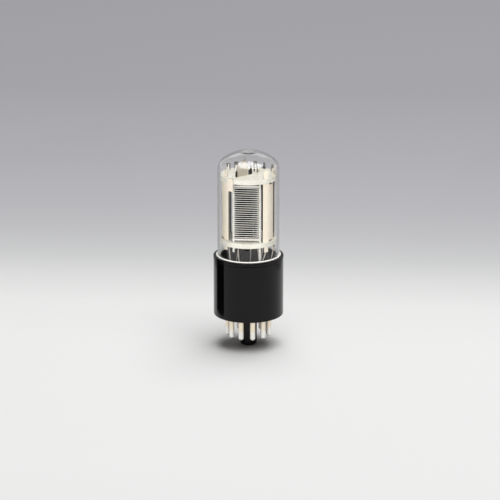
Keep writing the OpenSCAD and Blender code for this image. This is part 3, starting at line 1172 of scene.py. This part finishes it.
@dataclass
class Studio:
    """Paper floor, cards, soft lamps and the camera of the photograph."""

    floor_reach: float = 3.0
    floor_sides: int = 96
    tone_reach: float = 0.5
    # Floor colours that darken away behind the object: painted fall-off of the light
    falloff_tones: tuple[Stop, ...] = (
        (0.0, (0.98, 0.98, 0.975)),
        (0.12, (0.945, 0.945, 0.94)),
        (0.195, (0.845, 0.845, 0.842)),
        (0.277, (0.7, 0.703, 0.708)),
        (0.36, (0.618, 0.618, 0.634)),
        (0.46, (0.56, 0.555, 0.58)),
        (0.66, (0.503, 0.496, 0.529)),
        (1.0, (0.445, 0.438, 0.47)),
    )
    left_card: Corners = ((-0.062, -0.018, 0.0), (-0.062, 0.024, 0.06))
    front_card: Corners = ((-0.5, -0.9, 0.001), (0.5, -0.172, 0.001))
    back_card: Corners = ((-0.5, 1.0, 0.0), (0.5, 1.0, 0.5))
    over_card: Corners = ((-0.64, -0.66, 1.1), (0.84, 0.34, 1.1))
    flank_card: tuple[Pair, ...] = ((0.42, -0.02), (0.165, -0.02), (0.055, 0.155), (0.12, 0.42))
    flank_lift: float = 0.001
    middle: Point = (0.0, 0.0, 0.06)
    key: SoftLamp = SoftLamp("key_box", (0.3, 0.05, 2.4), (2.8, 1.8), 3.75)
    front: SoftLamp = SoftLamp("front_fill", (-0.08, -1.1, 0.35), (2.4, 0.5), 5.2)
    rear: SoftLamp = SoftLamp("rear_fill", (0.0, 1.2, 0.35), (2.4, 0.5), 2.6)
    world_tone: Colour = (1.0, 1.0, 1.01)
    world_level: float = 0.1
    mirrored_level: float = 0.62
    azimuth: float = 4.7
    elevation: float = 16.8
    distance: float = 1.3
    lens: float = 203.5
    sensor: float = 36.0
    aim_up: float = 0.0452
    aim_right: float = 0.00071

    def floor(self) -> None:
        """Lays the floor."""
        points = [Vector((0.0, 0.0, 0.0))]
        for k in range(self.floor_sides):
            angle = 2.0 * math.pi * k / self.floor_sides
            points.append(self.floor_reach * Vector((math.cos(angle), math.sin(angle), 0.0)))
        faces = [[0, 1 + k, 1 + (k + 1) % self.floor_sides] for k in range(self.floor_sides)]
        paper = PaperSweep(self.falloff_tones, self.tone_reach).make()
        add_mesh("floor", points, faces, paper)
        log.info("laid the floor")

    def cards(self) -> None:
        """Places the felt cards round the tube."""
        black = CardFelt()
        grey = CardFelt("grey_felt", dark=(0.4, 0.4, 0.4), light=(0.48, 0.48, 0.48))
        pale = CardFelt("pale_felt", dark=(0.66, 0.66, 0.66), light=(0.74, 0.74, 0.74))
        Card("left_card", rectangle(self.left_card), black).build()
        Card("front_card", rectangle(self.front_card), black).build()
        for name, way in (("west_card", -1.0), ("east_card", 1.0)):
            corners = tuple((way * x, y, self.flank_lift) for x, y in self.flank_card)
            Card(name, corners, grey).build()
        Card("back_card", rectangle(self.back_card), pale).build()

    def glint(self, bulb: Piece) -> None:
        """Hangs a glowing card over the bulb, which mirrors it.

        Args:
            bulb: The bulb.
        """
        shine_on(Card("over_card", rectangle(self.over_card), LampCloth()).build(), [bulb])

    def fill(self, pieces: Sequence[Piece]) -> None:
        """Hangs a low lamp in front and one behind that lift the pieces in the glass.

        Args:
            pieces: What they light.
        """
        for lamp in (self.front, self.rear):
            shine_on(lamp.build(self.middle), pieces)

    def world(self) -> None:
        """Sets the world's level, with one of its own for what is mirrored."""
        world = bpy.data.worlds.new("studio")
        world.use_nodes = True
        sheet = NodeSheet(world.node_tree)
        lit, mirrored = sheet.tree.nodes["Background"], sheet.node("Background")
        for shader, level in ((lit, self.world_level), (mirrored, self.mirrored_level)):
            shader.inputs["Color"].default_value = (*self.world_tone, 1.0)
            shader.inputs["Strength"].default_value = level
        path = sheet.node("LightPath").outputs
        # Light that has not met a dull surface on its way
        direct = sheet.work_out(Sum.LESS_THAN, path["Diffuse Depth"], 0.5)
        shown = sheet.work_out(Sum.PRODUCT, path["Is Glossy Ray"], direct)
        out = sheet.tree.nodes["World Output"].inputs["Surface"]
        first, second = lit.outputs["Background"], mirrored.outputs["Background"]
        sheet.choose(shown, first, second, out)
        bpy.context.scene.world = world
        bpy.context.scene.view_settings.view_transform = "Standard"

    def camera(self) -> None:
        """Sets up the camera."""
        azimuth, elevation = math.radians(self.azimuth), math.radians(self.elevation)
        back = Vector((
            math.sin(azimuth) * math.cos(elevation),
            -math.cos(azimuth) * math.cos(elevation),
            math.sin(elevation),
        ))
        right = Vector((math.cos(azimuth), math.sin(azimuth), 0.0))
        aim = Vector((0.0, 0.0, self.aim_up)) + right * self.aim_right
        data = bpy.data.cameras.new("camera")
        data.lens = self.lens
        data.sensor_width = self.sensor
        camera = bpy.data.objects.new("camera", data)
        camera.location = aim + back * self.distance
        camera.rotation_euler = back.to_track_quat("Z", "Y").to_euler()
        bpy.context.scene.collection.objects.link(camera)
        bpy.context.scene.camera = camera
        log.info("set up the camera")

    def build(self) -> None:
        """Builds the studio."""
        self.camera()
        self.floor()
        self.cards()
        self.key.build(self.middle)
        self.world()


def main() -> None:
    """Builds and dresses the tube in its studio."""
    logging.basicConfig(level=logging.INFO, format="%(name)s: %(message)s")
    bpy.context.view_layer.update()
    studio = Studio()
    studio.build()
    base = PlugBase()
    base.build()
    base.dress()
    bulb = GlassBulb()
    studio.glint(bulb.build())
    bulb.dress()
    ElectrodeCage().dress()
    grid = EntranceGrid()
    metal = grid.metal()
    grid.build(metal)
    grid.dress(metal)
    LeadWires().build()
    unfilled = ("floor", "base_shell", "bulb_shell", "top_shield")
    meshes = [piece for piece in bpy.data.objects if piece.type == "MESH"]
    meshes = [piece for piece in meshes if not piece.name.endswith("_card")]
    studio.fill([piece for piece in meshes if piece.name not in unfilled])


if __name__ == "__main__":
    main()
